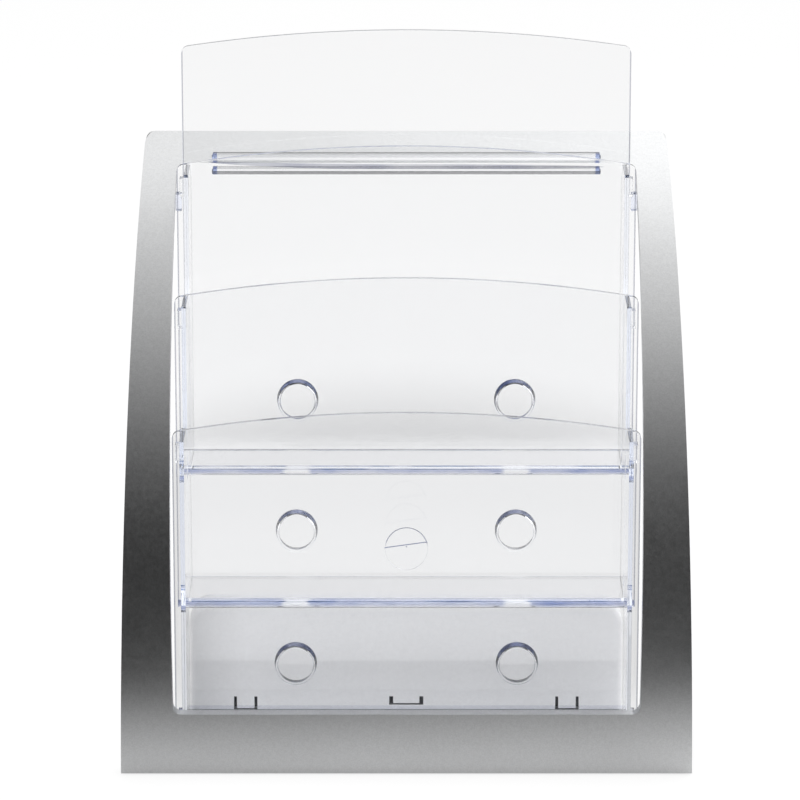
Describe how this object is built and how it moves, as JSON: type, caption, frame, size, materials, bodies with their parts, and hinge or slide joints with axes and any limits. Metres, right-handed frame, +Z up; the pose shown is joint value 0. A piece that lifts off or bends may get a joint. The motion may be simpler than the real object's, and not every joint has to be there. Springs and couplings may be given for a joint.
{
  "type": "desktop file sorter",
  "caption": "Free-standing desktop literature sorter: clear leaning pockets stepped up behind a curved silver surround, with a tall arched clear back panel.",
  "frame": {"origin": "on the desk plane, under the middle of the object's overall box", "axes": "+X to the object's left-right width (viewer's right when facing it), +Y to the rear, +Z up"},
  "size_m": [0.2858, 0.1856, 0.3398],
  "materials": {
    "silver_satin": "satin silver with a fine grain",
    "silver_base": "satin silver",
    "silver_riser": "satin silver",
    "clear_lower": "clear styrene, faint blue in the edges",
    "clear_middle": "clear styrene, faint blue in the edges",
    "clear_upper": "clear styrene, faint blue in the edges",
    "clear_header": "clear styrene, faint blue in the edges",
    "clear_clip_left": "clear styrene",
    "clear_clip_right": "clear styrene",
    "rubber_foot_front_left": "matt rubber",
    "rubber_foot_rear_left": "matt rubber",
    "rubber_foot_front_right": "matt rubber",
    "rubber_foot_rear_right": "matt rubber"
  },
  "bodies": {
    "frame": {"front_frame": "silver_satin", "base_plate": "silver_base", "riser_plate": "silver_riser", "header_panel": "clear_header", "side_clip_left": "clear_clip_left", "side_clip_right": "clear_clip_right", "foot_front_left": "rubber_foot_front_left", "foot_rear_left": "rubber_foot_rear_left", "foot_front_right": "rubber_foot_front_right", "foot_rear_right": "rubber_foot_rear_right"},
    "pocket_lower_body": {"pocket_lower": "clear_lower"},
    "pocket_middle_body": {"pocket_middle": "clear_middle"},
    "pocket_upper_body": {"pocket_upper": "clear_upper"}
  },
  "joints": [
    {"name": "lift_lower", "type": "slide", "parent": "frame", "child": "pocket_lower_body", "axis": [0, 0.1771, 0.9842], "range_m": [0, 0.12]},
    {"name": "lift_middle", "type": "slide", "parent": "pocket_lower_body", "child": "pocket_middle_body", "axis": [0, 0.1771, 0.9842], "range_m": [0, 0.12]},
    {"name": "lift_upper", "type": "slide", "parent": "pocket_middle_body", "child": "pocket_upper_body", "axis": [0, 0.1771, 0.9842], "range_m": [0, 0.12]}
  ]
}
